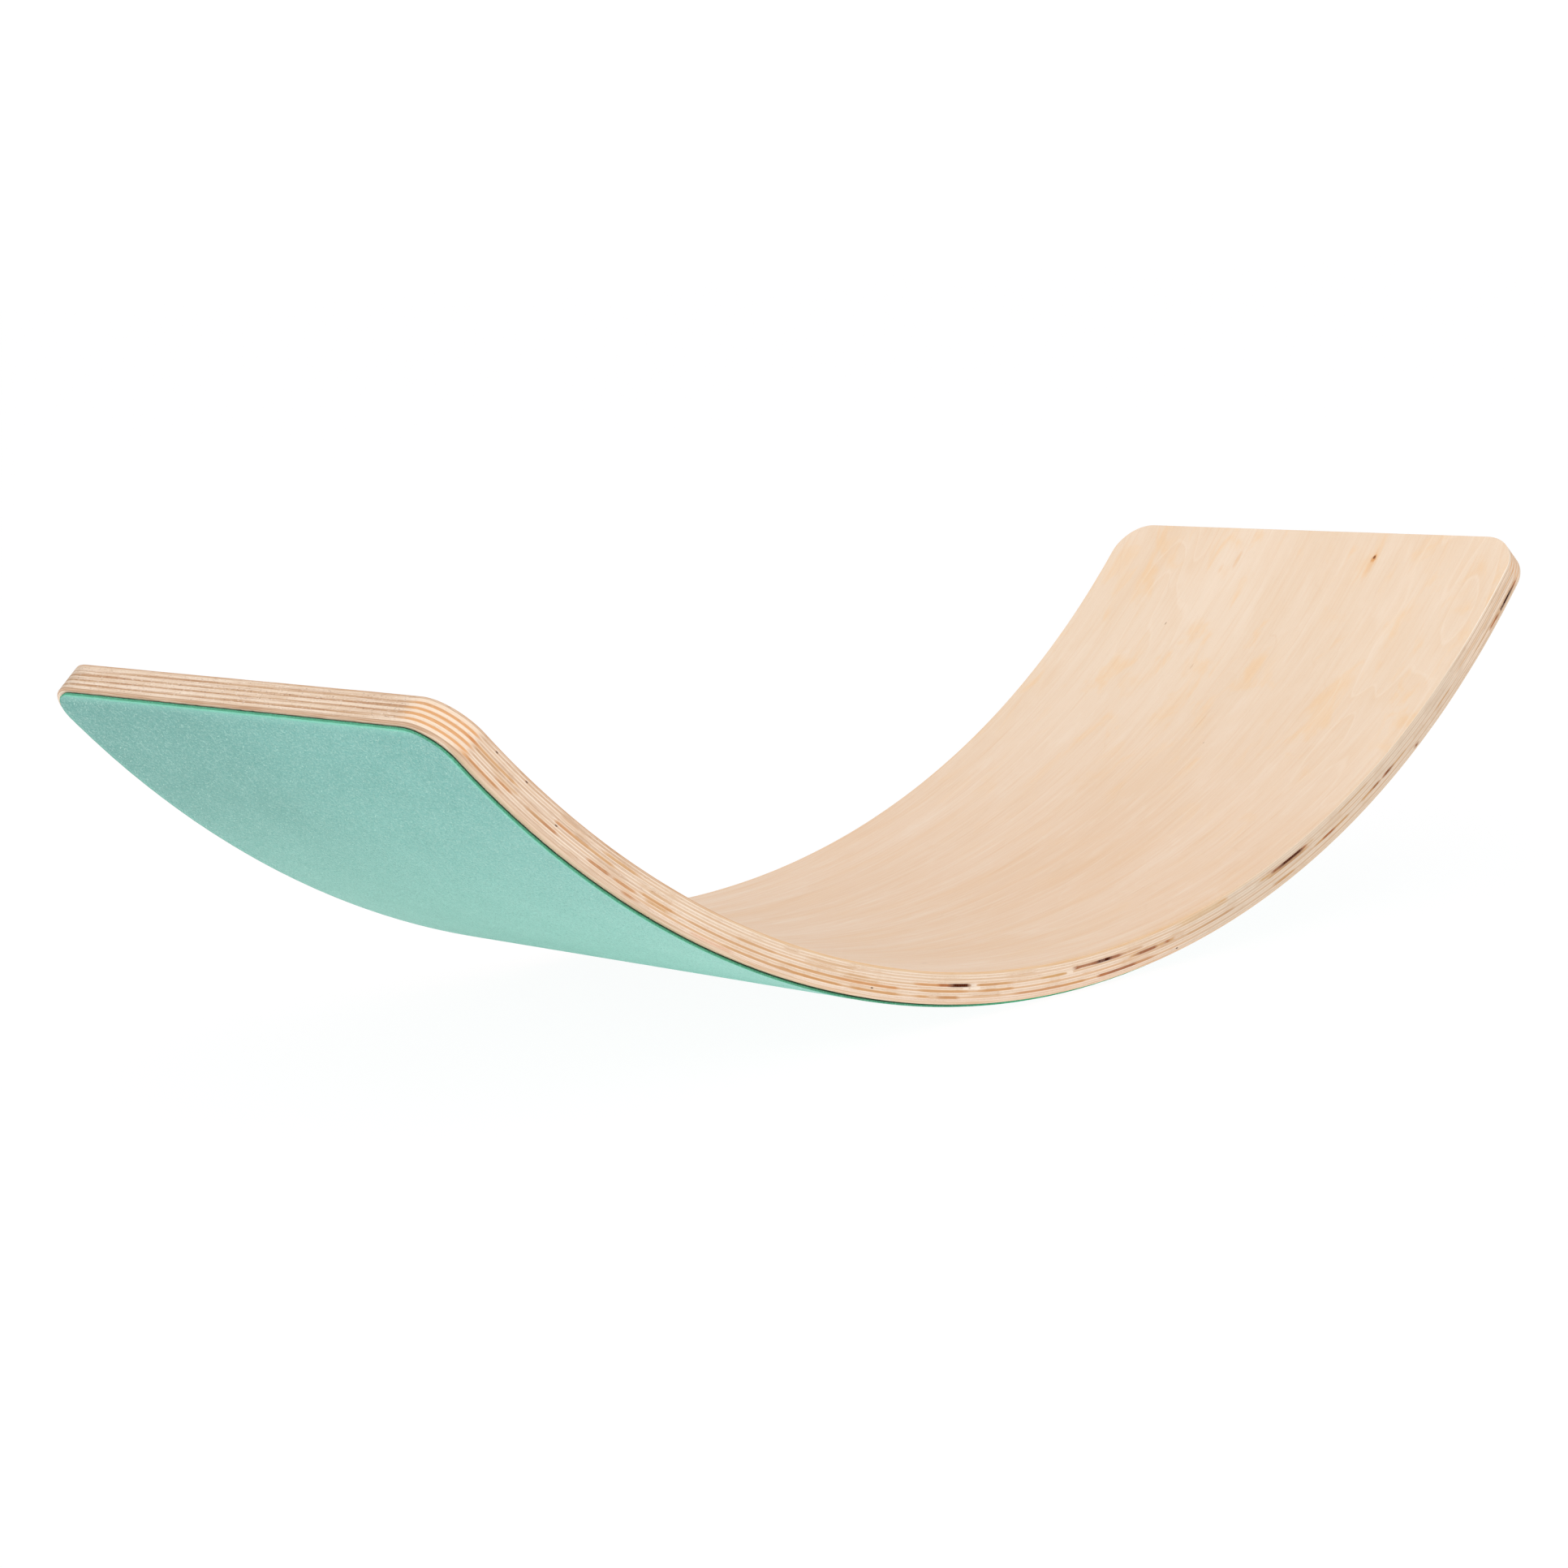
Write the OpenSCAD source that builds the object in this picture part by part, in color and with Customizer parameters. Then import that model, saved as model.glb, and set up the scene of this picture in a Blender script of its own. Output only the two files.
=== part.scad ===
// Balance board: a curved rocker pressed from eleven veneers, with a felt sheet glued to its convex underside.
// X runs along the board, Y across it, Z up. The origin is the middle of the lowest line of the felt,
// where the board touches a floor. All sizes are in millimetres.
// Every layer is concentric with the others. The bending axis is parallel to Y, above the board.

/* [Board] */
// Width across the board
board_width = 300; // [200:5:400]
// Radius of the concave standing surface
inner_radius = 553; // [400:1:900]
// Half of the angle that the curve covers, in degrees
half_angle = 48; // [25:0.5:60]
// Radius of the four rounded corners
corner_radius = 23; // [10:1:60]

/* [Lamination] */
// Thickness of each veneer
ply_thickness = 1.5; // [1:0.1:2.5]

/* [Felt] */
// Thickness of the adhesive film between the wood and the felt
film_thickness = 0.2; // [0.1:0.05:0.5]
// Thickness of the felt sheet
felt_thickness = 1.1; // [0.8:0.1:6]
// Distance from the long edges of the wood to the felt
felt_side_inset = 3.5; // [0.5:0.25:8]
// Distance from the two ends of the wood to the felt
felt_end_inset = 1.5; // [0.5:0.25:8]
// Radius of the felt's corners
felt_corner_radius = 20.5; // [5:0.5:60]
// How far the adhesive film stops short of the felt's edge
film_setback = 0.5; // [0:0.25:2]

/* [Hidden] */
ply_count = 11;
// outer radii of the wood, the film and the felt; the bending axis is felt_radius above the origin
wood_radius = inner_radius + ply_count * ply_thickness;
film_radius = wood_radius + film_thickness;
felt_radius = film_radius + felt_thickness;

// how far the uncut shell and the cutting bars run past the finished board
shell_extra_angle = 2;
shell_extra_width = 20;
bar_extra_depth = 20;

// facets of the large curves and of the corners
arc_fn = 256;
corner_fn = 96;

crossband_color = [0.90, 0.80, 0.66];

// A ring sector in the X-Z plane between two radii, a little longer than the board, drawn across the width.
module shell(r_in, r_out, width) {
  sector_angle = half_angle + shell_extra_angle;
  // long enough for the wedge to reach beyond the outer circle
  side_length = 3 * r_out;
  wedge_x = side_length * sin(sector_angle);
  wedge_z = -side_length * cos(sector_angle);
  translate([0, 0, felt_radius])
    rotate([90, 0, 0])
      linear_extrude(height = width, center = true)
        intersection() {
          difference() {
            circle(r = r_out, $fn = arc_fn);
            circle(r = r_in, $fn = arc_fn);
          }
          polygon([[0, 0], [-wedge_x, wedge_z], [wedge_x, wedge_z]]);
        }
}

// Outline of a bar along X with its end near X = 0 and two rounded corners there.
// The insets draw it in from the board's end and long edges.
module bar_outline(end_inset, side_inset, corner) {
  half_width = board_width / 2 - side_inset;
  bar_length = 3 * felt_radius;
  corner_x = -end_inset - corner;
  corner_y = half_width - corner;
  union() {
    translate([-bar_length, -half_width])
      square([bar_length + corner_x, 2 * half_width]);
    translate([-bar_length, -corner_y])
      square([bar_length - end_inset, 2 * corner_y]);
    for (s = [-1, 1])
      translate([corner_x, s * corner_y])
        circle(r = corner, $fn = corner_fn);
  }
}

// A bar that trims one end: side is 1 for +X and -1 for -X. It is extruded along the end's radius, so its
// end plane and corners are square to the surface there, and it reaches back past the other end.
module rounded_end(side, end_inset, side_inset, corner) {
  translate([0, 0, felt_radius])
    rotate([0, -side * half_angle, 0])
      mirror([side > 0 ? 0 : 1, 0, 0])
        translate([0, 0, -felt_radius - bar_extra_depth])
          linear_extrude(height = 2 * felt_radius)
            bar_outline(end_inset, side_inset, corner);
}

// One layer between two radii, with its outline drawn in from the board's by the two insets.
module layer(r_in, r_out, end_inset, side_inset, corner) {
  intersection() {
    shell(r_in, r_out, board_width + shell_extra_width);
    rounded_end(1, end_inset, side_inset, corner);
    rounded_end(-1, end_inset, side_inset, corner);
  }
}

// Veneer number n, counted from the concave face.
module veneer(n) {
  layer(inner_radius + (n - 1) * ply_thickness, inner_radius + n * ply_thickness, 0, 0, corner_radius);
}

module top_face_veneer() { color([0.88, 0.74, 0.58]) veneer(1); }
module crossband_02() { color(crossband_color) veneer(2); }
module core_veneer_03() { color([0.84, 0.70, 0.54]) veneer(3); }
module crossband_04() { color(crossband_color) veneer(4); }
module core_veneer_05() { color([0.80, 0.64, 0.47]) veneer(5); }
module crossband_06() { color(crossband_color) veneer(6); }
module core_veneer_07() { color([0.80, 0.62, 0.44]) veneer(7); }
module crossband_08() { color(crossband_color) veneer(8); }
module core_veneer_09() { color([0.77, 0.58, 0.40]) veneer(9); }
module crossband_10() { color(crossband_color) veneer(10); }
module bottom_face_veneer() { color([0.90, 0.79, 0.65]) veneer(ply_count); }

module felt_adhesive_film() {
  color([0.20, 0.28, 0.20])
    layer(wood_radius, film_radius, felt_end_inset + film_setback, felt_side_inset + film_setback,
          felt_corner_radius - film_setback);
}

module felt_sheet() {
  color([0.50, 0.75, 0.69])
    layer(film_radius, felt_radius, felt_end_inset, felt_side_inset, felt_corner_radius);
}

top_face_veneer();
crossband_02();
core_veneer_03();
crossband_04();
core_veneer_05();
crossband_06();
core_veneer_07();
crossband_08();
core_veneer_09();
crossband_10();
bottom_face_veneer();
felt_adhesive_film();
felt_sheet();
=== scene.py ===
"""A curved plywood board with a felt sheet glued to its convex underside.

The board is bent round an axis along y, above its middle: its length runs along x with both ends
turned up, its width along y. Front is -y and left is -x. The eleven plies are counted from the
concave top face outwards. Lengths are in mm, except in the stage section, which is in metres.
"""

import math
from collections import namedtuple

import bpy
import numpy as np
from mathutils import Matrix, Vector, noise as mnoise


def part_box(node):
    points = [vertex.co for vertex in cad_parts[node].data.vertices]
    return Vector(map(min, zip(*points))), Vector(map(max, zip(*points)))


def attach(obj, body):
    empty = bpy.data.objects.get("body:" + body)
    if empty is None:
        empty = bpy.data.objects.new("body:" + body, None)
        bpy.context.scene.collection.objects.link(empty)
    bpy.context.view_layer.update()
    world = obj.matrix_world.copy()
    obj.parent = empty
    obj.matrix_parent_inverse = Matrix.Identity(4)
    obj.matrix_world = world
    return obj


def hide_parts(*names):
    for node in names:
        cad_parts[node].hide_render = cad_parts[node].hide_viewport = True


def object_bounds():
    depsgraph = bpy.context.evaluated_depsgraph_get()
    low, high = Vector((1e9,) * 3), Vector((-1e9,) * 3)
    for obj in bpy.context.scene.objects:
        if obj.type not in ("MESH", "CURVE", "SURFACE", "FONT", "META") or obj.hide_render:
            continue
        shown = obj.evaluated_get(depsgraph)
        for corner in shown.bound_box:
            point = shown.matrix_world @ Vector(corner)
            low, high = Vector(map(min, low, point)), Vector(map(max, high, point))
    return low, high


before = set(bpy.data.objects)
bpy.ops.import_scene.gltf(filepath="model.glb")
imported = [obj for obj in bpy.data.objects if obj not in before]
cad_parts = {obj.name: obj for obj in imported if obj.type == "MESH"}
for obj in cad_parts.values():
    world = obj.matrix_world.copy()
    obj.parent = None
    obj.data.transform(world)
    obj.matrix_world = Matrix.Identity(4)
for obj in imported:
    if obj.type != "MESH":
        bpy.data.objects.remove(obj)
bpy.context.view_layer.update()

# ---------------------------------------------------------------- sizes, read from the frame

MM = 0.001
PLIES = [
    "top_face_veneer", "crossband_02", "core_veneer_03", "crossband_04", "core_veneer_05",
    "crossband_06", "core_veneer_07", "crossband_08", "core_veneer_09", "crossband_10",
    "bottom_face_veneer",
]
FILM, FELT = "felt_adhesive_film", "felt_sheet"
LAYERS = PLIES + [FILM, FELT]
PLY = 1.5  # thickness of one ply, for its shading
TOP, BOTTOM = PLIES[0], PLIES[-1]

LOW = {node: np.array(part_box(node)[0]) / MM for node in LAYERS}
HIGH = {node: np.array(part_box(node)[1]) / MM for node in LAYERS}
HALF_ANGLE = math.atan2(HIGH[BOTTOM][0] - HIGH[TOP][0], HIGH[TOP][2] - HIGH[BOTTOM][2])
HALF_WIDTH = HIGH[TOP][1]
AXIS_Z = HIGH[PLIES[1]][2] + HIGH[TOP][0] / math.sin(HALF_ANGLE) * math.cos(HALF_ANGLE)

OUTER = {node: AXIS_Z - LOW[node][2] for node in LAYERS}  # radii of each layer's two faces
INNER = {TOP: (AXIS_Z - HIGH[TOP][2]) / math.cos(HALF_ANGLE)}
for above, below in zip(LAYERS[:-1], LAYERS[1:]):
    INNER[below] = OUTER[above]
MID_RADIUS = (INNER[TOP] + OUTER[BOTTOM]) / 2  # lengths along the board are counted here

CORNER = 23.0  # corner radius of the board in plan
FELT_CORNER = 20.5
FILM_CORNER = FELT_CORNER - 0.5
FELT_PROUD = 0.45  # the soft felt swells past its solid
FELT_IN = 0.9  # and its trimmed rim draws in
FELT_ROUND = 0.42  # rounding of the felt's lower rim
TOP_ROUND, BOTTOM_ROUND = 0.50, 1.15  # arris roundings of the face veneers


def felt_insets(node):
    """How far a felt layer stops short of the board's outline at the ends and the long edges."""
    end = (OUTER[node] * math.sin(HALF_ANGLE) - HIGH[node][0]) / math.cos(HALF_ANGLE)
    return end, HALF_WIDTH - HIGH[node][1] + FELT_IN


FELT_SIDE = felt_insets(FELT)[1]


def at_deg(degrees):
    """Length along the board at an angle from its middle."""
    return MID_RADIUS * math.radians(degrees)


# ---------------------------------------------------------------- mesh of one bent sheet

# One outline of the wall: its radius, inset from the outline, the radial and outward parts of
# the wall's normal there, and the share of the uneven edge it takes.
Level = namedtuple("Level", "radius inset radial outward wave")

GAP_STEP, GAP_RAMP = 0.06, 0.03  # station spacing in a gap and the width of its flanks, degrees
STEP_CAP = 40.0  # longest step counted round the outline
# UV map: heights of the main face (large or small), of the other face, and rows for the wall
UV_LARGE, UV_SMALL, UV_OTHER, UV_ROWS = 0.70, 0.08, 0.05, 6


def smooth_noise(place, seed, waves):
    """A repeatable wavy function of place: waves is a list of (wavelength, amplitude)."""
    rng = np.random.default_rng(seed)
    out = np.zeros_like(place, dtype=float)
    for wavelength, amplitude in waves:
        for _ in range(3):
            length = wavelength * rng.uniform(0.75, 1.35)
            phase = rng.uniform(0, 6.28)
            out += amplitude / 1.9 * np.sin(2 * np.pi * place / length + phase)
    return out


def rounded(radius, rounding, side, degrees):
    """Levels round an arris; side is -1 at the inner face and +1 at the outer one."""
    levels = []
    for angle in np.radians(degrees):
        cos, sin = math.cos(angle), math.sin(angle)
        levels.append(Level(radius - side * rounding * (1 - cos), rounding * (1 - sin),
                            side * cos, sin, 1.0 - angle / (math.pi / 2)))
    return levels


def radial_axis(angle):
    return np.stack([np.sin(angle), 0 * angle, -np.cos(angle)], -1)


def length_axis(angle):
    return np.stack([np.cos(angle), 0 * angle, np.sin(angle)], -1)


class BentSheet:
    """A closed sheet bent round the axis: a grid of stations by columns on each face, and a wall.

    levels run from the inner radius to the outer one. gaps are (side, from deg, to deg, depth)
    in the long edges. edge_wave(place, total) moves the outline outwards and face_wave(along, y)
    the outer face. layout names what gets most of the UV map: "edges", the "inner" face, or the
    "outer" face in two halves.
    """

    def __init__(self, levels, n_mid, n_col, n_corner=18, gaps=(), edge_wave=None,
                 face_wave=None, layout="edges", insets=(0.0, 0.0), corner=CORNER):
        self.levels, self.layout, self.face_wave = levels, layout, face_wave
        self.n_col, self.corner = n_col, corner
        self.across = (np.linspace(-1, 1, n_col) + 1) / 2
        self.corner_reach = insets[0] + corner
        self.half_width = HALF_WIDTH - insets[1]
        self.lay_stations(n_mid, n_corner, gaps)
        self.trace_outline()
        self.wave = edge_wave(self.place, self.total) if edge_wave else np.zeros(self.n_loop)
        self.place_vertices()
        self.join_faces()

    def lay_stations(self, n_mid, n_corner, gaps):
        """end is -1 or 1 in the corners and 0 between; param is a corner angle or a share."""
        mid_radius = (self.levels[0].radius + self.levels[-1].radius) / 2
        straight = math.degrees(HALF_ANGLE - math.asin(self.corner_reach / mid_radius))
        extra = []
        for _, start, stop, _ in gaps:
            extra += list(np.linspace(start, stop, max(4, int((stop - start) / GAP_STEP))))
            extra += [start - GAP_RAMP, stop + GAP_RAMP]
            extra += [start - 2 * GAP_RAMP, stop + 2 * GAP_RAMP]
        middle = np.concatenate([np.linspace(-1, 1, n_mid), np.array(extra) / straight])
        middle = np.unique(np.round(middle, 6))
        turn = np.linspace(0, np.pi / 2, n_corner + 1)[:-1]
        self.end = np.concatenate([-np.ones(n_corner), np.zeros(len(middle)), np.ones(n_corner)])
        self.param = np.concatenate([turn, middle, turn[::-1]])
        self.n_stations = len(self.end)

        self.push = np.zeros((2, self.n_stations))  # depth of the gaps, front and back
        degrees = np.where(self.end == 0, self.param * straight, 999)
        for side, start, stop, depth in gaps:
            row = 0 if side == "front" else 1
            inside = (degrees >= start - 1e-4) & (degrees <= stop + 1e-4)
            wobble = 0.75 + 0.25 * np.sin(degrees * 37.0 + start * 11)
            taper = np.clip(np.minimum(degrees - start, stop - degrees) / 0.25, 0.35, 1)
            self.push[row] = np.where(inside, depth * wobble * taper, self.push[row])

    def ruling(self, radius, inset):
        """Angle, front y and back y of every station."""
        middle = self.end == 0
        turn = self.corner - inset
        reach = np.where(middle, 0, -self.corner_reach + turn * np.cos(self.param))
        half = np.where(middle, self.half_width - inset,
                        (self.half_width - self.corner) + turn * np.sin(self.param))
        corner_angle = HALF_ANGLE + np.arcsin(reach / radius)
        mid_angle = self.param * (HALF_ANGLE - math.asin(self.corner_reach / radius))
        angle = np.where(middle, mid_angle, self.end * corner_angle)
        return angle, -half + self.push[0], half - self.push[1]

    def trace_outline(self):
        """The outline as (station, column) pairs, anticlockwise from above, with its normals."""
        last, last_col = self.n_stations - 1, self.n_col - 1
        loop = [(i, 0) for i in range(last + 1)] + [(last, c) for c in range(1, last_col + 1)]
        loop += [(i, last_col) for i in range(last - 1, -1, -1)]
        loop += [(0, c) for c in range(last_col - 1, 0, -1)]
        self.station, self.column = station, column = np.array(loop).T
        self.n_loop = len(loop)
        self.next = np.roll(np.arange(self.n_loop), -1)
        self.on_end = (column > 0) & (column < last_col)

        middle = self.end[station] == 0
        endward = np.where(middle, 0, np.cos(self.param[station]))
        sideward = np.where(middle, 1, np.sin(self.param[station]))
        endward = np.where(self.on_end, 1, endward)
        sideward = np.where(self.on_end, 0, sideward) * np.where(column == 0, -1, 1)
        self.loop_normal = np.stack([
            self.end[station] * math.cos(HALF_ANGLE) * endward,
            sideward,
            math.sin(HALF_ANGLE) * endward,
        ], -1)

        # distance round the outline, for uneven edges and the UV map
        angle, front, back = self.ruling(self.levels[-1].radius, 0.0)
        along, y = MID_RADIUS * angle[station], self.loop_y(front, back)
        step = np.hypot(np.diff(along, append=along[0]), np.diff(y, append=y[0]))
        self.step = np.minimum(step, STEP_CAP)
        self.place = np.concatenate([[0], np.cumsum(self.step)[:-1]])
        self.total = float(self.step.sum())

    def loop_y(self, front, back):
        front, back = front[self.station], back[self.station]
        y = np.where(self.column == 0, front, back)
        return np.where(self.on_end, front + self.across[self.column] * (back - front), y)

    def loop_points(self, level):
        """Angle and y round the outline, moved along its normal by the uneven edge."""
        angle, front, back = self.ruling(level.radius, level.inset)
        angle, y = angle[self.station], self.loop_y(front, back)
        shift = self.wave * level.wave
        tangent = np.einsum("ij,ij->i", self.loop_normal, length_axis(angle))
        return angle - shift * tangent / level.radius, y - shift * self.loop_normal[:, 1]

    def grid_points(self, level):
        angle, front, back = self.ruling(level.radius, level.inset)
        angle = np.repeat(angle[:, None], self.n_col, 1)
        y = front[:, None] + self.across[None] * (back - front)[:, None]
        loop_angle, loop_y = self.loop_points(level)
        angle[self.station, self.column] = loop_angle
        y[self.station, self.column] = loop_y
        return angle.ravel(), y.ravel()

    def place_vertices(self):
        """Inner grid, outer grid, then the rings between them."""
        points = []
        for level in (self.levels[0], self.levels[-1]):
            angle, y = self.grid_points(level)
            points.append((np.full(angle.size, level.radius), angle, y))
        if self.face_wave:
            radius, angle, y = points[1]
            points[1] = radius + self.face_wave(MID_RADIUS * angle, y), angle, y
        grid_size = self.n_stations * self.n_col
        rim = self.station * self.n_col + self.column
        self.rings = [rim]
        for j, level in enumerate(self.levels[1:-1]):
            points.append((np.full(self.n_loop, level.radius), *self.loop_points(level)))
            self.rings.append(2 * grid_size + j * self.n_loop + np.arange(self.n_loop))
        self.rings.append(grid_size + rim)
        radius, angle, y = (np.concatenate(part) for part in zip(*points))
        self.angle = angle
        self.verts = np.stack([radius * np.sin(angle), y, AXIS_Z - radius * np.cos(angle)], -1)
        # place on the unrolled board: along it, across it, and depth from the top face
        self.dev = np.stack([MID_RADIUS * angle, y, radius - INNER[TOP]], -1)

    def join_faces(self):
        cols, grid_size = self.n_col, self.n_stations * self.n_col
        rows = np.arange(self.n_stations - 1)[:, None]
        first = (rows * cols + np.arange(cols - 1)[None]).ravel()
        inner = np.stack([first, first + cols, first + cols + 1, first + 1], -1)
        outer = inner[:, [3, 2, 1, 0]] + grid_size
        walls = [np.stack([lower, upper, upper[self.next], lower[self.next]], -1)
                 for lower, upper in zip(self.rings[:-1], self.rings[1:])]
        self.faces = np.concatenate([inner, outer] + walls)
        self.inner_faces = slice(0, len(inner))
        self.outer_faces = slice(len(inner), 2 * len(inner))
        self.wall_start = 2 * len(inner)

    def wall_faces(self, j):
        start = self.wall_start + j * self.n_loop
        return slice(start, start + self.n_loop)

    def face_uvs(self, rows, start, height, halves):
        """UVs of one face, whole or as two halves one above the other."""
        u_along = self.dev[:, 0] / (2 * MID_RADIUS * (HALF_ANGLE + 0.001)) + 0.5
        v_across = self.dev[:, 1] / (2 * HALF_WIDTH) + 0.5
        along, across = u_along[self.faces[rows]], v_across[self.faces[rows]]
        if halves:
            right = (along.mean(1) > 0.5)[:, None]
            u = np.where(right, (along - 0.5) * 2, along * 2)
            v = across * (height / 2 - 0.008)
            v = np.where(right, start + height / 2 + 0.004 + v, start + 0.002 + v)
        else:
            u, v = across, start + 0.002 + along * (height - 0.006)
        return np.stack([0.004 + np.clip(u, 0, 1) * 0.992, v], -1)

    def set_uvs(self, mesh):
        uv = np.zeros((len(self.faces), 4, 2))
        halves = self.layout == "outer"
        main, other = self.inner_faces, self.outer_faces
        if halves:
            main, other = other, main
        main_height = UV_SMALL if self.layout == "edges" else UV_LARGE
        uv[main] = self.face_uvs(main, 0.0, main_height, halves)
        uv[other] = self.face_uvs(other, main_height, UV_OTHER, False)

        # the wall, cut into rows round the outline
        row_height = (1 - main_height - 0.06) / UV_ROWS
        heights = [math.hypot(b.radius - a.radius, b.inset - a.inset)
                   for a, b in zip(self.levels[:-1], self.levels[1:])]
        share = np.cumsum([0] + heights)
        share = share / share[-1]
        row = (self.place + self.step / 2) / self.total * UV_ROWS
        row = np.minimum(row, UV_ROWS - 1e-6).astype(int)
        u_start = self.place / self.total * UV_ROWS - row
        u_end = (self.place + self.step) / self.total * UV_ROWS - row
        u_start, u_end = (0.01 + np.clip(u, 0, 1) * 0.98 for u in (u_start, u_end))
        row_v = main_height + 0.055 + row * row_height + 0.004
        for j in range(len(self.levels) - 1):
            low, high = (row_v + share[i] * (row_height - 0.008) for i in (j, j + 1))
            corners = ((u_start, low), (u_start, high), (u_end, high), (u_end, low))
            for corner, pair in enumerate(corners):
                uv[self.wall_faces(j), corner] = np.stack(pair, -1)
        layer = mesh.uv_layers.new(name="OFBake")
        layer.data.foreach_set("uv", uv.astype(np.float32).ravel())

    def set_normals(self, mesh):
        """Exact normals of the bent faces and the rounded wall; flat ones in the gaps."""
        radial = radial_axis(self.angle)
        normals = np.zeros((len(self.faces), 4, 3))
        normals[self.inner_faces] = -radial[self.faces[self.inner_faces]]
        normals[self.outer_faces] = radial[self.faces[self.outer_faces]]
        row = np.where(self.column == 0, 0, 1)
        pushed = (self.push[row, self.station] > 0) & ~self.on_end
        in_gap = pushed | pushed[self.next]
        here = np.arange(self.n_loop)
        for j in range(len(self.levels) - 1):
            faces, wall = self.faces[self.wall_faces(j)], normals[self.wall_faces(j)]
            corners = ((j, here), (j + 1, here), (j + 1, self.next), (j, self.next))
            for corner, (i, at) in enumerate(corners):
                level = self.levels[i]
                normal = level.radial * radial[faces[:, corner]]
                normal = normal + level.outward * self.loop_normal[at]
                wall[:, corner] = normal / np.linalg.norm(normal, axis=1, keepdims=True)
            first, second, third = (self.verts[faces[in_gap, i]] for i in range(3))
            flat = np.cross(second - first, third - first)
            flat /= np.maximum(np.linalg.norm(flat, axis=1, keepdims=True), 1e-12)
            wall[in_gap] = flat[:, None]
        mesh.normals_split_custom_set(normals.reshape(-1, 3).tolist())

    def build(self, name, own_normals=True):
        faces = self.faces
        mesh = bpy.data.meshes.new(name)
        mesh.vertices.add(len(self.verts))
        mesh.vertices.foreach_set("co", (self.verts * MM).astype(np.float32).ravel())
        mesh.loops.add(faces.size)
        mesh.loops.foreach_set("vertex_index", faces.astype(np.int32).ravel())
        mesh.polygons.add(len(faces))
        mesh.polygons.foreach_set("loop_start", np.arange(0, faces.size, 4, dtype=np.int32))
        mesh.polygons.foreach_set("loop_total", np.full(len(faces), 4, np.int32))
        mesh.update(calc_edges=True)
        mesh.polygons.foreach_set("use_smooth", np.ones(len(faces), bool))
        dev = mesh.attributes.new("dev", "FLOAT_VECTOR", "POINT")
        dev.data.foreach_set("vector", self.dev.astype(np.float32).ravel())
        # 0 on the two faces, 1 on the wall
        cut = mesh.attributes.new("cut", "FLOAT", "FACE")
        on_wall = np.arange(len(faces)) >= self.wall_start
        cut.data.foreach_set("value", on_wall.astype(np.float32))
        self.set_uvs(mesh)
        if own_normals:
            self.set_normals(mesh)
        sheet = bpy.data.objects.new(name, mesh)
        bpy.context.scene.collection.objects.link(sheet)
        return sheet


# ---------------------------------------------------------------- shader graph helpers


def linear(colour):
    """Three sRGB bytes as a linear colour; a wire or a four-value linear colour stays."""
    if not isinstance(colour, tuple) or len(colour) == 4:
        return colour
    parts = [byte / 255 for byte in colour]
    return (*(c / 12.92 if c <= 0.04045 else ((c + 0.055) / 1.055) ** 2.4 for c in parts), 1.0)


class Wire:
    """A node's output. Arithmetic on it adds Math nodes."""

    def __init__(self, graph, socket):
        self.graph, self.socket = graph, socket

    def __add__(self, other):
        return self.graph.math("ADD", self, other)

    def __radd__(self, other):
        return self.graph.math("ADD", other, self)

    def __sub__(self, other):
        return self.graph.math("SUBTRACT", self, other)

    def __rsub__(self, other):
        return self.graph.math("SUBTRACT", other, self)

    def __mul__(self, other):
        return self.graph.math("MULTIPLY", self, other)

    def __truediv__(self, number):
        return self * (1 / number)

    def __abs__(self):
        return self.graph.math("ABSOLUTE", self)

    def fract(self):
        return self.graph.math("FRACT", self)

    def max(self, other):
        return self.graph.math("MAXIMUM", self, other)

    def min(self, other):
        return self.graph.math("MINIMUM", self, other)

    def ease(self, start, stop, at_start=0.0, at_stop=1.0):
        """Goes smoothly from at_start to at_stop as the value goes from start to stop."""
        inputs = {0: self, 1: start, 2: stop, 3: at_start, 4: at_stop}
        return self.graph.wire("MapRange", inputs, interpolation_type="SMOOTHSTEP")

    def fade(self, start, stop):
        return self.ease(start, stop, 1.0, 0.0)

    def mix(self, first, second):
        """This value chooses between two colours."""
        return self.graph.mix(self, first, second)

    def tint(self, amount, colour):
        """This colour with an amount of another laid over it."""
        return self.graph.mix(amount, self, colour)

    def times(self, colour):
        return self.graph.mix(1.0, self, colour, "MULTIPLY")

    def scaled(self, factor):
        return self.graph.wire("VectorMath", {0: self, "Scale": factor}, operation="SCALE")


class Graph:
    """The node tree of a material or world."""

    def __init__(self, owner, output="OutputMaterial"):
        owner.use_nodes = True
        self.tree = owner.node_tree
        self.tree.nodes.clear()
        self.output = self.node(output)

    def node(self, kind, inputs=(), **settings):
        node = self.tree.nodes.new("ShaderNode" + kind)
        for key, value in settings.items():
            setattr(node, key, value)
        for key, value in dict(inputs).items():
            self.put(node.inputs[key], value)
        return node

    def wire(self, kind, inputs=(), output=0, **settings):
        return Wire(self, self.node(kind, inputs, **settings).outputs[output])

    def put(self, socket, value):
        if isinstance(value, Wire):
            self.tree.links.new(value.socket, socket)
        else:
            socket.default_value = value

    def math(self, operation, first, second=0.0):
        return self.wire("Math", {0: first, 1: second, 2: 0.0}, operation=operation)

    def mix(self, factor, first, second, mode="MIX"):
        inputs = {0: factor, 6: linear(first), 7: linear(second)}
        return self.wire("Mix", inputs, output=2, data_type="RGBA", blend_type=mode)


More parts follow.
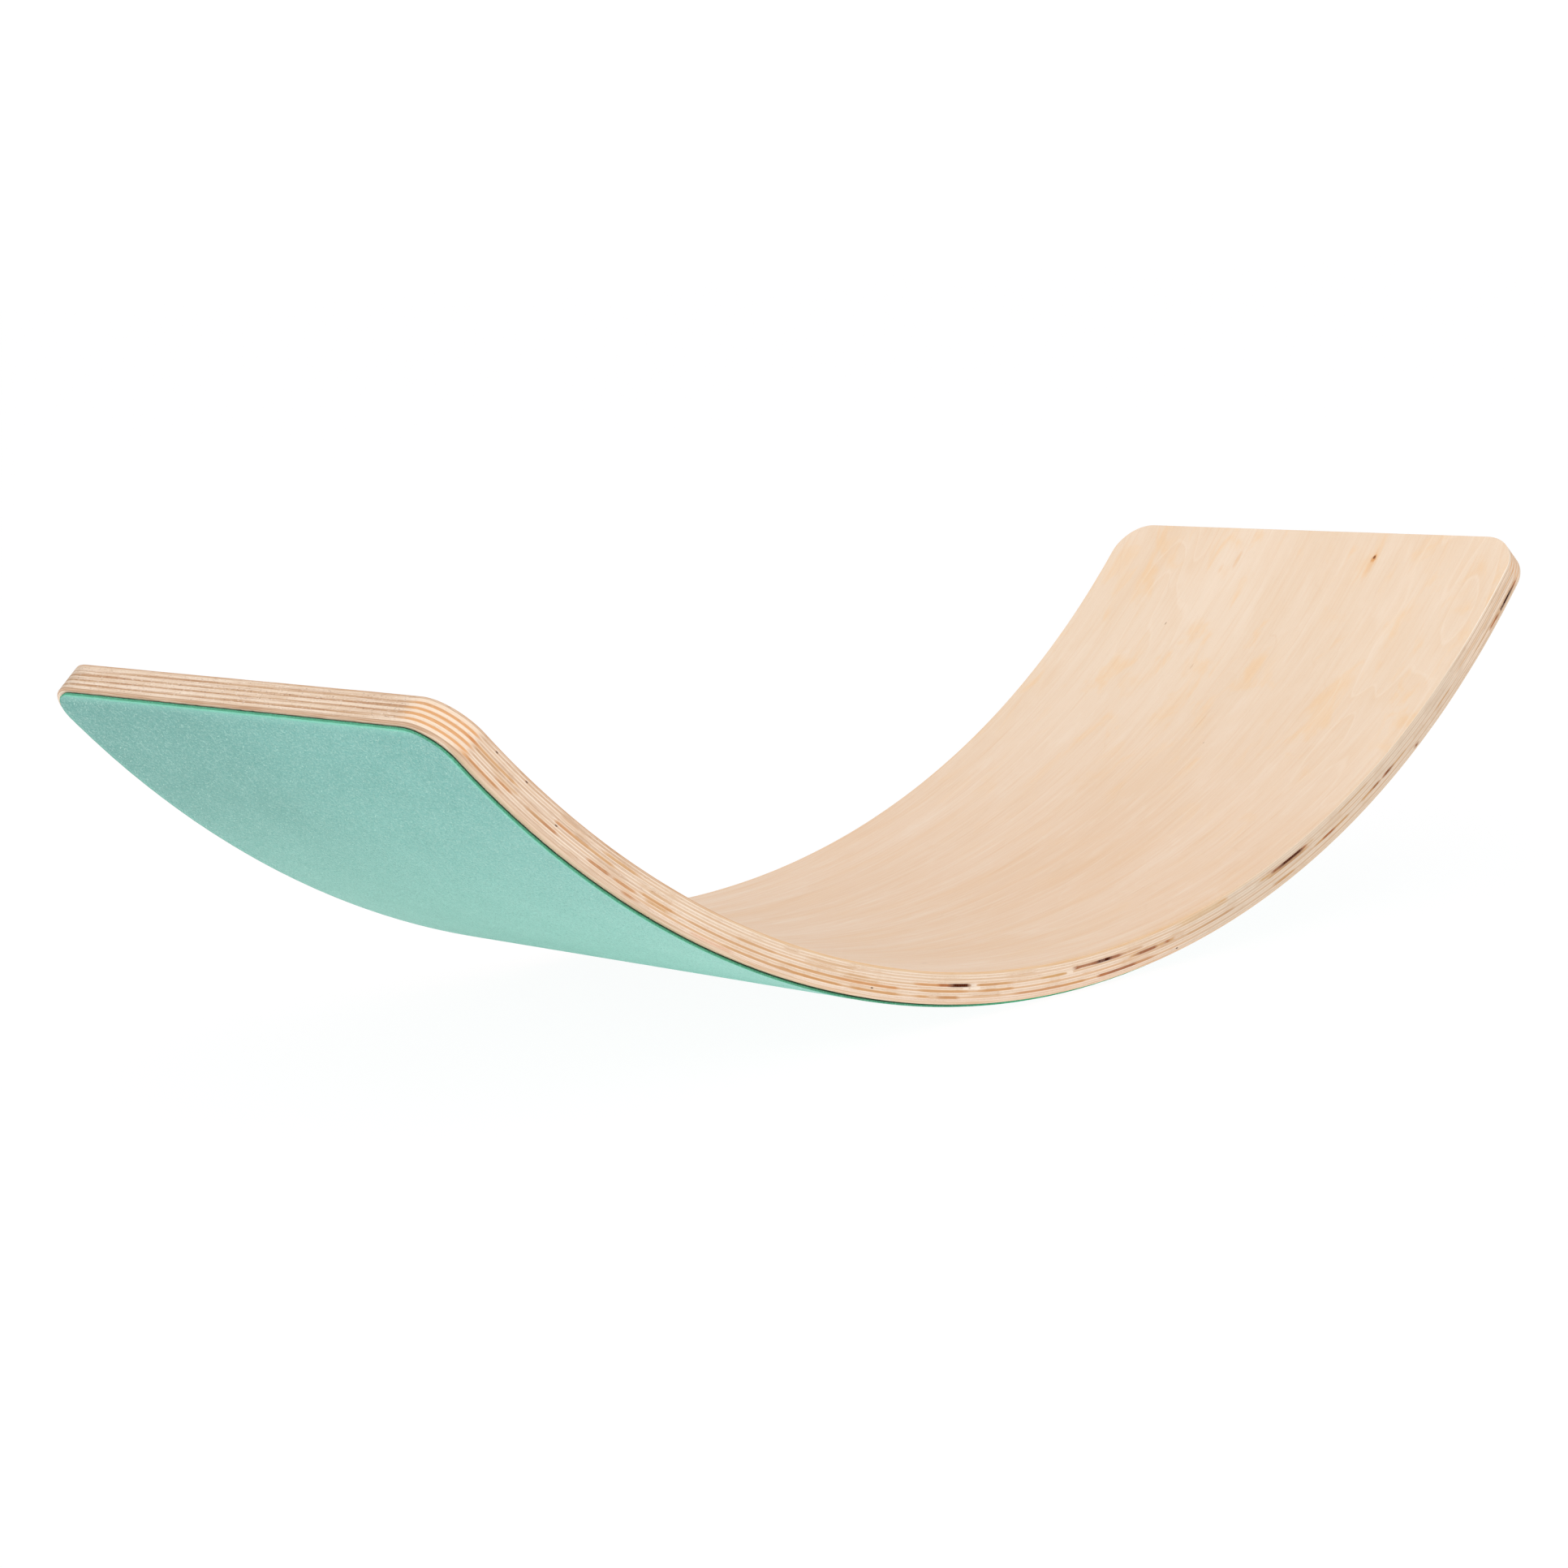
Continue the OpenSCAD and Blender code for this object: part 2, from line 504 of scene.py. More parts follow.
class Surface(Graph):
    """A Principled material shaded by place on the unrolled board (mm)."""

    def __init__(self, name):
        self.material = bpy.data.materials.new(name)
        super().__init__(self.material)
        self.bsdf = self.node("BsdfPrincipled")
        self.put(self.output.inputs[0], Wire(self, self.bsdf.outputs[0]))
        dev = self.wire("Attribute", output="Vector", attribute_name="dev")
        split = self.node("SeparateXYZ", {0: dev})
        self.coords = [Wire(self, socket) for socket in split.outputs]  # along, y, depth

    def noise(self, x, y, z, detail=2, rough=0.5, distortion=0):
        place = self.wire("CombineXYZ", {0: x, 1: y, 2: z})
        return self.wire("TexNoise", {"Vector": place, "Scale": 1.0, "Detail": detail,
                                      "Roughness": rough, "Distortion": distortion})

    def radius(self, first, second):
        return self.math("SQRT", first * first + second * second)

    def blob(self, along, y, half_length, half_width, soft, warp):
        """1 inside a ragged ellipse round (along, y), 0 outside."""
        distance = self.radius((self.coords[0] - along) / half_length,
                               (self.coords[1] - y) / half_width)
        return (distance + warp).fade(*soft)

    def ramp(self, factor, stops):
        node = self.node("ValToRGB", {0: factor})
        elements = node.color_ramp.elements
        elements.remove(elements[-1])
        elements[0].position, elements[0].color = stops[0]
        for position, colour in stops[1:]:
            elements.new(position).color = colour
        return Wire(self, node.outputs[0])

    def finish(self, colour, rough, height, distance, strength, **extra):
        """Sets the surface; distance (m) and strength are those of the bump."""
        bump = self.wire("Bump", {"Distance": distance, "Strength": strength, "Height": height})
        inputs = {"Base Color": colour, "Roughness": rough, "Normal": bump}
        inputs.update({key.replace("_", " "): value for key, value in extra.items()})
        for key, value in inputs.items():
            self.put(self.bsdf.inputs[key], value)
        return self.material


# In the materials, a noise coordinate divided by n mm gives grain about n mm long that way.

# ---------------------------------------------------------------- birch: the two face veneers

# marks on the top face: degrees along, y, half length, half width, colour, strength
FACE_MARKS = (
    (45.4, 47.0, 9.0, 2.0, (234, 184, 128), 0.42),
    (44.6, 56.0, 5.0, 1.5, (234, 188, 136), 0.32),
    (39.7, 73.0, 1.5, 0.55, (150, 104, 66), 0.70),
    (36.0, 31.0, 3.2, 0.7, (214, 170, 126), 0.45),
    (29.0, -22.0, 1.3, 0.5, (170, 124, 84), 0.50),
    (-8.2, -112.0, 4.2, 0.55, (140, 96, 64), 0.70),
    (31.0, -7.0, 20.0, 0.6, (222, 176, 128), 0.35),
    (12.0, -96.0, 16.0, 0.7, (224, 180, 134), 0.30),
    (-24.0, 40.0, 5.0, 0.6, (170, 122, 84), 0.45),
    (-33.0, -70.0, 2.0, 0.8, (152, 104, 68), 0.55),
    (-40.5, 64.0, 11.0, 1.8, (232, 186, 134), 0.40),
    (4.0, 92.0, 24.0, 0.8, (224, 180, 134), 0.35),
)
KNOT_DEG, KNOT_Y = 46.0, -54.0
RING_PERIOD, RING_WARP, RING_WIDTH = 21.0, 5.2, 0.10  # mm across, rings, share of a period


def face_clouds(mat, seed):
    """Ground tone, paler at the ends and darker and warmer at mid length as painted light and
    shade of the bend, with faint clouds drawn out along the grain.
    """
    along, y, _ = mat.coords
    broad = mat.noise(along / 260 + seed, y / 48, seed).ease(0.30, 0.72)
    lit_pale_end = broad.mix((245, 223, 200), (241, 216, 190))
    shaded_warm_mid = broad.mix((242, 211, 183), (239, 205, 174))
    # painted light and shade: the middle darker and warmer than the paler ends
    tone = abs(along).ease(90, 400).mix(shaded_warm_mid, lit_pale_end)
    cloud = mat.noise(along / 140 + (seed + 9), y / 15, seed, detail=3, rough=0.55)
    tone = tone.tint(cloud.ease(0.52, 0.80) * 0.22, (236, 198, 158))
    puff = mat.noise(along / 46 + (seed + 2), y / 19, seed + 6, detail=3, rough=0.6,
                     distortion=0.6)
    tone = tone.tint(puff.ease(0.52, 0.72) * along.ease(150, 340, 0.12, 0.50), (247, 205, 154))
    return tone.tint(puff.ease(0.46, 0.28) * 0.22, (249, 232, 214))


def face_rings(mat, tone, seed):
    """Growth rings cut at a shallow angle: contours of a gently warped slope across the sheet."""
    along, y, _ = mat.coords
    broad = mat.noise(along / 190 + seed, y / 60, seed, detail=1, rough=0.4)
    small = mat.noise(along / 46 + seed * 2, y / 17, seed + 3, rough=0.45)
    ring = (y / RING_PERIOD + (broad * RING_WARP + small * (RING_WARP * 0.28))).fract()
    # rises slowly over the ring and falls away sharply: early wood to late wood
    soft = ring.ease(0.0, 1.0)
    crest = 1 - RING_WIDTH * 0.35
    line = ring.ease(1 - RING_WIDTH, crest) * ring.fade(crest, 1.0)
    where = mat.noise(along / 90 + (seed + 20), y / 50, seed + 7, detail=1)
    amount = where.ease(0.44, 0.70, 0.06, 1.0)
    tone = tone.tint(line * amount * 0.20, (226, 184, 142))
    return tone.tint(soft * amount * 0.07, (246, 228, 208))


def face_fingers(mat, tone, seed, top):
    """Flat-cut figure: nested fingers with rounded tips, pointing along the board."""
    along, y, _ = mat.coords
    hill = mat.noise(along / 135 + seed * 3, y / 26, seed + 1, detail=1, rough=0.35)
    wobble = mat.noise(along / 20, y / 7.5, seed + 4)
    finger = (hill * 7.0 + wobble * 0.13 + along / 330).fract()
    late = finger.ease(0.10, 0.88) * finger.fade(0.88, 1.0)
    thin = finger.ease(0.80, 0.88) * finger.fade(0.90, 0.98)
    if top:
        front_zone = y.ease(-66, -92) * along.ease(190, 300)
        back_zone = y.ease(30, 56) * y.ease(136, 112) * along.ease(330, 390)
        zone = front_zone.max(back_zone).max(0.26)
        late_amount, thin_amount, thin_colour = 0.15, 0.34, (251, 234, 216)
    else:
        zone = 0.6
        late_amount, thin_amount, thin_colour = 0.22, 0.20, (222, 178, 136)
    tone = tone.tint(late * zone * late_amount, (234, 192, 146))
    return tone.tint(thin * zone * thin_amount, thin_colour)


def face_streaks(mat, tone, seed, top):
    """Lengthwise fibre, coarse to fine, and pore ticks. Also gives the coarse fibre and height."""
    along, y, _ = mat.coords
    brushed = along.ease(180, 380, 1.0, 0.55) if top else 1.0

    def brush(amount):
        return mat.math("MULTIPLY", brushed, amount)

    coarse = mat.noise(along / 75 + seed, y / 1.7, 0.0, detail=3, rough=0.6)
    fine = mat.noise(along / 16 + seed, y / 0.42, 4.0, rough=0.6)
    tone = tone.tint(coarse.ease(0.50, 0.78) * brush(0.36), (230, 188, 150))
    tone = tone.tint(coarse.ease(0.47, 0.24) * brush(0.34), (252, 234, 216))
    wide = mat.noise(along / 48 + (seed + 5), y / 3.1, 7.0, rough=0.55)
    tone = tone.tint(wide.ease(0.54, 0.74) * brush(0.26), (232, 190, 146))
    tone = tone.tint(wide.ease(0.44, 0.26) * brush(0.26), (250, 232, 216))
    # wider bands, strongest in the middle of the board
    band = mat.noise(along / 160 + (seed + 15), y / 8.5, 5.0)
    mid_zone = abs(along).ease(120, 260, 1.0, 0.25)
    tone = tone.tint(band.ease(0.52, 0.66) * mid_zone * 0.26, (236, 192, 146))
    tone = tone.tint(band.ease(0.46, 0.32) * mid_zone * 0.26, (247, 226, 206))
    tone = tone.tint(fine.ease(0.50, 0.85) * 0.16, (220, 186, 150))
    # short dark and pale pore ticks
    dark_tick = mat.noise(along / 3.4, y / 0.24, 9.0, detail=1)
    tone = tone.tint(dark_tick.ease(0.66, 0.76) * 0.20, (203, 166, 130))
    pale_tick = mat.noise(along / 4.6, y / 0.30, 19.0, detail=1)
    tone = tone.tint(pale_tick.ease(0.66, 0.76) * 0.24, (252, 241, 226))
    height = fine * 0.5 + (coarse * 0.3 - dark_tick.ease(0.62, 0.74) * 0.5)
    return tone, coarse, height


def face_knots(mat, tone, height):
    """A knot near the right end and smaller marks."""
    along, y, _ = mat.coords
    warp = (mat.noise(along * 0.35, y * 0.6, 2.0, rough=0.6) - 0.5) * 0.9
    knot = at_deg(KNOT_DEG)
    halo = mat.blob(knot - 5.0, KNOT_Y, 13.0, 2.8, (0.2, 1.25), warp)
    tone = tone.tint(halo * 0.42, (238, 186, 128))
    ring = mat.blob(knot - 0.6, KNOT_Y, 3.4, 1.8, (0.50, 1.15), warp)
    tone = tone.tint(ring * 0.85, (222, 156, 90))
    core = mat.blob(knot + 0.4, KNOT_Y, 1.5, 0.95, (0.6, 1.1), warp)
    tone = tone.tint(core, (138, 80, 34))
    for degrees, mark_y, half_length, half_width, colour, amount in FACE_MARKS:
        mark = mat.blob(at_deg(degrees), mark_y, half_length, half_width, (0.25, 1.1), warp)
        tone = tone.tint(mark * amount, colour)
    return tone, height - core * 3.0


def top_edge(mat, tone):
    """The top veneer's edge: warm at the sanded arris, greyer and then paler to the right, with a
    painted highlight on the arris at the right end.
    """
    along, y, depth = mat.coords
    lip = abs(y).ease(HALF_WIDTH - 4.2, HALF_WIDTH - 1.0)
    lip = lip * mat.noise(along / 70 + 31.0, 0.0, 0.0).ease(0.36, 0.60)
    lip = lip * along.ease(60, 170, 1.0, 0.35)
    tone = tone.tint(lip * 0.40, (236, 192, 138))
    wall = depth.ease(0.08, 0.34)
    streak = mat.noise(along / 30 + 8.0, y / 30, depth / 0.4, detail=3, rough=0.6)
    edge = streak.ease(0.36, 0.66).mix((226, 198, 165), (216, 176, 132))
    grey = streak.ease(0.40, 0.66).mix((215, 195, 172), (208, 184, 158))
    pale = streak.ease(0.40, 0.66).mix((226, 205, 181), (214, 189, 161))
    left_tip = streak.ease(0.40, 0.62).mix((220, 194, 169), (202, 164, 129))
    edge = edge.tint(along.ease(-250, -330), left_tip)
    edge = edge.tint(along.ease(60, 230), grey)
    edge = edge.tint(along.ease(350, 400), pale)
    dash = mat.noise(along / 5.0 + 3.0, y / 5.0, depth / 0.5, rough=0.6)
    left_dash = dash.ease(0.56, 0.70) * along.ease(-300, -360)
    edge = edge.tint(left_dash * 0.60, (150, 104, 66))
    # the arris itself: brown at the left tip, orange along the middle, then nearly white to the
    # right as a painted highlight
    arris = depth.ease(0.02, 0.20) * depth.ease(0.75, 0.45)
    arris_colour_and_highlight = along.ease(-300, -200).mix((190, 136, 90), (228, 182, 128))
    arris_colour_and_highlight = arris_colour_and_highlight.tint(along.ease(60, 170), (236, 222, 200))
    arris_colour_and_highlight = arris_colour_and_highlight.tint(along.ease(350, 410), (255, 246, 232))
    amount = along.ease(330, 390, 0.45, 0.68) + streak.ease(0.35, 0.6) * 0.32
    edge = edge.tint(arris * amount, arris_colour_and_highlight)
    tone = tone.tint(wall * 0.95, edge)
    return tone.tint(depth.ease(1.22, 1.42) * 0.35, (240, 224, 202))


def bottom_edge(mat, tone):
    """The bottom veneer's edge: brown at the left tip, darker there as painted shade above the
    felt seam, greyer to the right.
    """
    along, y, depth = mat.coords
    # painted shade: a darker tint on the underside ledge beside the felt
    rim = abs(y).ease(HALF_WIDTH - 4.1, HALF_WIDTH - 3.3)
    tone = tone.tint(rim * 0.70, (206, 176, 138))
    streak = mat.noise(along / 36 + 2.0, y / 36, depth / 0.36, detail=3, rough=0.6)
    wall = depth.ease(16.46, 16.30)
    edge = streak.ease(0.36, 0.66).mix((231, 205, 180), (213, 174, 136))
    edge = edge.tint(streak.ease(0.60, 0.72) * 0.6, (198, 146, 100))
    left = streak.ease(0.38, 0.64).mix((223, 198, 174), (200, 165, 132))
    edge = edge.tint(along.ease(-200, -330), left)
    # painted shade: the left tip's wood browner and darker just above the felt seam
    left_tip = streak.ease(0.40, 0.60).mix((208, 178, 150), (172, 128, 92))
    edge = edge.tint(along.ease(-440, -458), left_tip)
    edge = edge.tint(along.ease(40, 220, 0.0, 0.8), (212, 187, 158))
    return tone.tint(wall * 0.92, edge)


def face_birch(name, top):
    mat = Surface(name)
    seed = 3.7 if top else 41.3
    tone = face_clouds(mat, seed)
    tone = face_rings(mat, tone, seed)
    tone = face_fingers(mat, tone, seed, top)
    tone, coarse, height = face_streaks(mat, tone, seed, top)
    if top:
        tone, height = face_knots(mat, tone, height)
        tone = top_edge(mat, tone.scaled(0.989))
    else:
        tone = bottom_edge(mat, tone.scaled(1.0))
    return mat.finish(tone, 0.46 + (coarse - 0.5) * 0.22, height, distance=0.00012,
                      strength=0.55, Specular_IOR_Level=0.38)


# ---------------------------------------------------------------- birch: core plies on the edge

# tints, as linear factors on the plain wood
WHITE = (1.0, 1.0, 1.0)
TAN, OCHRE, ORANGE = (0.89, 0.79, 0.67), (0.85, 0.67, 0.46), (0.85, 0.60, 0.38)
# The last tint on this line and the tint on the next line are used only over gaps: painted shade
# of the recesses.
RUST, BROWN, GAP_SHADE_MAROON = (0.56, 0.27, 0.12), (0.40, 0.17, 0.065), (0.19, 0.050, 0.018)
GAP_SHADE_BLACK = (0.065, 0.018, 0.008)

# what shows along the front long edge of each ply: (from deg, to deg, tint), plain wood between;
# the near-black tints over the front gaps are painted shade of the recesses
MARKS = {
    2: [(8.5, 11.9, (0.96, 0.85, 0.68)), (12.0, 12.7, (0.92, 0.72, 0.50))],
    3: [(-36.2, -33.8, OCHRE), (-21.0, -18.0, TAN), (8.6, 12.8, (0.97, 0.89, 0.76)),
        (16.9, 17.05, BROWN), (24.0, 27.0, TAN)],
    4: [(-0.5, -0.3, BROWN), (-0.25, 0.7, (0.46, 0.23, 0.12)), (0.8, 1.15, BROWN),
        (1.2, 2.6, (0.13, 0.032, 0.010)), (2.65, 3.35, (0.38, 0.15, 0.06)),
        (3.4, 5.0, (0.78, 0.62, 0.48)), (15.9, 16.9, OCHRE), (17.0, 17.7, BROWN),
        (17.8, 20.15, (0.20, 0.070, 0.032)), (20.2, 20.5, RUST), (20.55, 21.2, TAN)],
    5: [(-46.2, -45.5, ORANGE), (-45.2, -42.6, OCHRE), (-39.7, -38.4, (0.78, 0.52, 0.32)),
        (-38.3, -37.0, OCHRE), (-36.6, -35.4, OCHRE), (-32.6, -31.4, TAN), (-26.2, -23.6, TAN),
        (-18.2, -16.8, TAN), (-13.0, -11.2, ORANGE), (-11.15, -10.4, RUST),
        (-10.35, -8.85, GAP_SHADE_MAROON), (-8.2, -6.8, (0.80, 0.60, 0.40)), (-6.7, -5.8, OCHRE),
        (-3.1, -1.3, (0.84, 0.70, 0.46)), (16.6, 17.6, OCHRE), (17.7, 20.1, (0.74, 0.55, 0.38)),
        (20.15, 20.6, OCHRE), (38.0, 46.0, TAN)],
    6: [(-45.8, -43.8, TAN), (-18.5, -16.0, TAN), (4.1, 4.6, OCHRE), (4.65, 4.75, BROWN),
        (4.78, 5.0, BROWN), (5.05, 6.3, (0.40, 0.16, 0.06)), (6.35, 7.0, OCHRE),
        (7.05, 7.45, RUST), (7.6, 7.9, OCHRE)],
    7: [(-44.0, -42.4, TAN), (-33.0, -30.8, OCHRE), (-29.5, -22.6, TAN), (-22.5, -18.8, OCHRE),
        (-18.7, -14.4, ORANGE), (-12.6, -9.2, OCHRE), (-8.0, -5.6, OCHRE), (9.0, 10.6, TAN),
        (10.7, 13.0, (0.84, 0.72, 0.60)), (21.4, 22.0, OCHRE), (22.1, 23.2, RUST),
        (23.3, 24.6, OCHRE), (26.2, 27.2, OCHRE), (27.3, 28.05, (0.48, 0.26, 0.12)),
        (28.1, 28.4, WHITE), (28.45, 28.7, RUST), (28.75, 29.4, (0.36, 0.15, 0.06)),
        (29.6, 31.0, TAN), (35.0, 36.5, TAN)],
    8: [(-43.6, -42.8, ORANGE), (-41.3, -40.3, OCHRE), (-40.2, -39.4, (0.76, 0.50, 0.32)),
        (-36.8, -35.5, (0.78, 0.52, 0.32)), (-35.0, -33.5, ORANGE), (-32.6, -31.2, OCHRE),
        (40.0, 46.0, TAN)],
    9: [(-27.0, -22.2, TAN), (-22.1, -18.6, OCHRE), (-17.6, -14.3, OCHRE),
        (-12.9, -12.2, OCHRE), (-11.1, -9.7, (0.72, 0.50, 0.30)),
        (-5.3, -1.6, (0.82, 0.64, 0.50)), (-1.5, 0.2, OCHRE), (1.3, 2.0, RUST),
        (2.1, 4.4, (0.48, 0.26, 0.18)), (4.5, 6.0, (0.78, 0.60, 0.46)), (17.2, 18.8, OCHRE),
        (41.9, 42.6, RUST), (42.8, 43.0, BROWN), (43.1, 43.35, OCHRE), (43.4, 43.65, GAP_SHADE_BLACK),
        (43.7, 43.85, BROWN), (43.9, 45.15, GAP_SHADE_BLACK), (45.2, 45.6, RUST)],
    10: [(-46.2, -43.4, ORANGE), (-34.2, -33.4, (0.80, 0.56, 0.38)),
         (-29.2, -26.5, (0.96, 0.82, 0.74)), (31.9, 32.4, BROWN)],
}
FILLERS = {5: [(-8.8, -8.4), (-1.2, -0.7)], 6: [(-9.4, -9.0), (-8.85, -8.1)]}  # pale, degrees
SPECKS = {2: [-44.5, -42.2], 6: [-39.5], 8: [-16.25], 10: [8.0]}  # single dark pores, degrees
WARM = {  # tone of each ply's left half
    2: (225, 200, 174), 3: (220, 192, 163), 4: (227, 203, 178), 5: (219, 188, 156),
    6: (227, 204, 181), 7: (218, 182, 147), 8: (226, 202, 178), 9: (217, 180, 144),
    10: (229, 204, 182),
}
RAMP_SPAN = 480.0  # the mark ramps reach this far to either side of the middle
RAMP_MARKS = 7  # marks in one colour ramp
PLAIN_GAP = 4.5  # marks further apart than this have plain wood between them


def edge_tint(mat, marks, coord):
    """A ply's marks as colour ramps along the edge, on coordinate coord (mm)."""
    span = 2 * RAMP_SPAN
    marks = sorted(marks)
    plain = WHITE + (1,)
    product = None
    for group in range(0, len(marks), RAMP_MARKS):
        part = marks[group:group + RAMP_MARKS]
        stops = [(-RAMP_SPAN, plain)]
        for i, (from_deg, to_deg, tint) in enumerate(part):
            start, stop = at_deg(from_deg), at_deg(to_deg)
            soft = 0.7 if min(tint) < 0.35 else (1.2 if to_deg - from_deg < 0.5 else 2.4)
            if i == 0 or start - at_deg(part[i - 1][1]) > PLAIN_GAP:
                stops.append((start - soft, plain))
            stops += [(start + soft * 0.35, tint + (1,)), (stop - soft * 0.35, tint + (1,))]
            if i + 1 == len(part) or at_deg(part[i + 1][0]) - stop > PLAIN_GAP:
                stops.append((stop + soft, plain))
        rising = [(0.0, plain)]
        for place, colour in stops[1:]:
            position = (place + RAMP_SPAN) / span
            rising.append((max(position, rising[-1][0] + 5e-5), colour))
        ramp = mat.ramp((coord - -RAMP_SPAN) / span, rising)
        product = ramp if product is None else product.times(ramp)
    return product


def core_tone(mat, k, seed, fibre, fine, blot, lively):
    """Tone along the board, fibre streaks, growth lines and short brown dashes."""
    along, y, depth = mat.coords
    odd = k % 2 == 1
    left_tip = (223, 199, 175) if odd else (206, 175, 147)
    if k <= 5:
        right = (206, 185, 162) if odd else (214, 195, 173)
    else:
        right = (205, 179, 152) if odd else (213, 193, 171)
    right_tip = (225, 204, 182) if odd else (208, 183, 158)
    zone = along + (blot - 0.5) * 60.0  # the tone zones end unevenly
    base = zone.ease(-350, -300).mix(left_tip, WARM[k])
    base = base.tint(zone.ease(10, 140), right)
    base = base.tint(zone.ease(350, 390), right_tip)
    if odd:
        base = base.tint(fibre.ease(0.49, 0.66) * (lively * 0.46), (212, 162, 114))
        base = base.tint(fibre.ease(0.45, 0.30) * (lively * 0.50), (243, 220, 196))
    else:
        base = base.tint(fibre.ease(0.50, 0.70) * (lively * 0.32), (208, 168, 130))
        base = base.tint(fibre.ease(0.46, 0.28) * (lively * 0.40), (246, 228, 210))
    rings = mat.noise(along / 110 + seed, y / 110, depth / 0.62, rough=0.6)
    base = base.tint(rings.ease(0.53, 0.66) * (lively * 0.42), (218, 168, 118))
    base = base.tint(rings.ease(0.46, 0.33) * (lively * 0.30), (246, 227, 207))
    dash = mat.noise(along / 6.0 + seed, y / 6.0, depth / 0.36, rough=0.6)
    many = 0.34 + along.ease(-250, -330, 0.0, 0.36)
    base = base.tint(dash.ease(0.60, 0.72) * (lively * many), (172, 116, 72))
    return base.tint(fine.ease(0.52, 0.80) * 0.20, (196, 152, 112))


def core_end_tone(mat, seed, odd, blot):
    """The two short ends: long dashes across the board, small pores, bright corners, and painted
    shade towards the back corners.
    """
    along, y, depth = mat.coords
    if odd:
        base = blot.ease(0.40, 0.62).mix((202, 165, 131), (193, 154, 120))
    else:
        base = blot.ease(0.40, 0.62).mix((239, 219, 198), (233, 210, 186))
    uneven = mat.noise(y / 40.0, seed + 40, 0.0, rough=0.55)
    base = base.tint(uneven.ease(0.44, 0.62, 0.0, 0.55), (222, 193, 164))
    dash = mat.noise(y / 80.0, seed, depth / 0.62, detail=3, rough=0.60)
    base = base.tint(dash.ease(0.51, 0.62) * (0.60 if odd else 0.34), (166, 112, 76))
    base = base.tint(dash.ease(0.47, 0.37) * 0.52, (244, 226, 210))
    pores = mat.noise(y / 1.5, seed + 3, depth / 0.6, rough=0.6)
    base = base.tint(pores.ease(0.59, 0.70) * (0.70 if odd else 0.48), (124, 80, 54))
    ticks = mat.noise(y / 2.6, seed + 13, depth / 0.5, rough=0.6)
    base = base.tint(ticks.ease(0.60, 0.70) * 0.60, (252, 240, 228))
    # painted shade: darker towards the back, where the end faces turn from the light
    base = base.scaled(y.ease(HALF_WIDTH - 36, HALF_WIDTH - 10, 0.985, 0.77))
    # round the front corners: bright orange late wood between pale bands
    turn = abs(along).ease(MID_RADIUS * (HALF_ANGLE - 0.050), MID_RADIUS * (HALF_ANGLE - 0.034))
    turn = turn * abs(y).ease(HALF_WIDTH - 32, HALF_WIDTH - 20)
    band = mat.noise(along / 38, y / 38, depth / 0.55 + seed, rough=0.6)
    front_turn = turn * y.ease(20, -20)
    if odd:
        return base.tint(band.ease(0.30, 0.52, 0.45, 0.92) * front_turn, (224, 164, 106))
    return base.tint(band.ease(0.60, 0.40, 0.50, 0.92) * front_turn, (244, 222, 199))


def core_glue(mat, k, base, lively, ends):
    """Glue lines at both faces of the ply: pale threads, here and there dark."""
    along, y, depth = mat.coords
    near = abs(depth - (k - 1) * PLY).min(abs(depth - k * PLY))
    thread = mat.noise(along / 30 + math.floor(k / 2) * 5.0, y / 30, 3.0, detail=3, rough=0.6)
    lively = lively * (1.0 - ends * 0.62)
    pale = near.fade(0.20, 0.36) * thread.ease(0.36, 0.54)
    base = base.tint(pale * (lively * 0.62), (249, 233, 216))
    dark = near.fade(0.08, 0.22) * thread.ease(0.47, 0.34)
    return base.tint(dark * (lively * 0.34), (186, 134, 88))


def core_marks(mat, k, seed, base, fine):
    """The ply's own marks, its neighbours' dark marks spilling over the glue line (partly their
    painted gap shade), fillers and pores.
    """
    along, y, depth = mat.coords
    mid = (k - 0.5) * PLY
    ragged = (mat.noise(along / 2.2, seed, depth / 0.5, rough=0.6) - 0.5) * 4.0
    back = y.ease(-5, 5)

    def place(ply):
        """Ragged length along the edge; the back edge gets the marks in another order."""
        return along * (1.0 - back * 1.83) + back * (60.0 + ply * 9) + ragged

    inside = abs(depth - mid).fade(0.70, 0.92)
    off_middle = abs(y).ease(HALF_WIDTH - 12, HALF_WIDTH - 4)
    fibrous = 0.80 + fine.ease(0.3, 0.7) * 0.20
    marked = base.times(edge_tint(mat, MARKS[k], place(k)))
    base = base.tint(inside * off_middle * fibrous, marked)
    for ply, boundary in ((k - 1, (k - 1) * PLY), (k + 1, k * PLY)):
        # the neighbours' darkest marks spill over the shared glue line; over their gaps this is
        # painted shade
        dark = [mark for mark in MARKS.get(ply, []) if max(mark[2]) < 0.45]
        if dark:
            spilled_dark = base.times(edge_tint(mat, dark, place(ply)))
            near = abs(depth - boundary).ease(0.05, 0.34, 0.55, 0.0)
            base = base.tint(near * off_middle, spilled_dark)
    for from_deg, to_deg in FILLERS.get(k, []):
        start, stop = at_deg(from_deg), at_deg(to_deg)
        filler = along.ease(start - 0.8, start + 0.6) * along.ease(stop + 0.8, stop - 0.6)
        filler = filler * y.ease(-100, -140)
        filler = filler * abs(depth - mid).ease(0.25, 0.65, 0.62, 0.0)
        base = base.tint(filler, (252, 240, 224))
    for degrees in SPECKS.get(k, []):
        distance = mat.radius((along - at_deg(degrees)) / 1.1, (depth - mid) / 0.42)
        speck = distance.ease(0.6, 1.1, 0.9, 0.0) * y.ease(-100, -140)
        base = base.tint(speck, (92, 62, 42))
    return base


